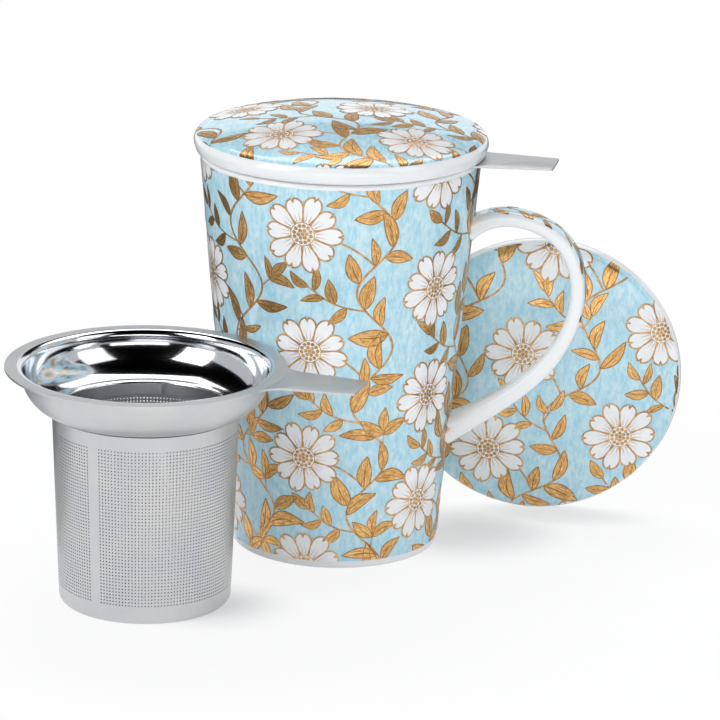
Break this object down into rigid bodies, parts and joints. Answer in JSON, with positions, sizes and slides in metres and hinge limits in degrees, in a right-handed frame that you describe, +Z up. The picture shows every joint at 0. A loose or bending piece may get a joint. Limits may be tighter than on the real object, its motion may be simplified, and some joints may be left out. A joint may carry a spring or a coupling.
{
  "type": "lidded tea mug with infuser",
  "caption": "Tall tapered mug with a loop handle, a loose domed lid and a lift-out steel infuser with a flanged funnel, tab and perforated basket, shown with a spare infuser and lid.",
  "frame": {"origin": "centre of the mug's foot ring, on the table", "axes": "+Z up along the mug's axis, +X towards the handle, -Y towards the front"},
  "size_m": [0.2134, 0.1494, 0.1392],
  "materials": {
    "bone_china": "white glaze with an all-over floral print in pale blue, white and gold",
    "stainless_steel": "satin outside, polished inside the funnel"
  },
  "bodies": {
    "mug": {"mug_body": "bone_china", "mug_handle": "bone_china"},
    "infuser": {"infuser_bowl": "stainless_steel", "infuser_tube": "stainless_steel", "infuser_base": "stainless_steel"},
    "mug_lid": {"lid": "bone_china"},
    "standing_infuser": {"standing_infuser_bowl": "stainless_steel", "standing_infuser_tube": "stainless_steel", "standing_infuser_base": "stainless_steel"},
    "second_lid": {"leaning_lid": "bone_china"}
  },
  "joints": [
    {"name": "infuser_lift", "type": "slide", "parent": "mug", "child": "infuser", "axis": [0, 0, 1], "range_m": [0, 0.085]},
    {"name": "lid_lift", "type": "slide", "parent": "infuser", "child": "mug_lid", "axis": [0, 0, 1], "range_m": [0, 0.04]},
    {"name": "standing_infuser_lift", "type": "slide", "parent": "mug", "child": "standing_infuser", "axis": [-0.2376, -0.246, 0.9397], "range_m": [0, 0.06]},
    {"name": "second_lid_lift", "type": "slide", "parent": "mug", "child": "second_lid", "axis": [0.4056, 0.5792, 0.7071], "range_m": [0, 0.06]}
  ]
}
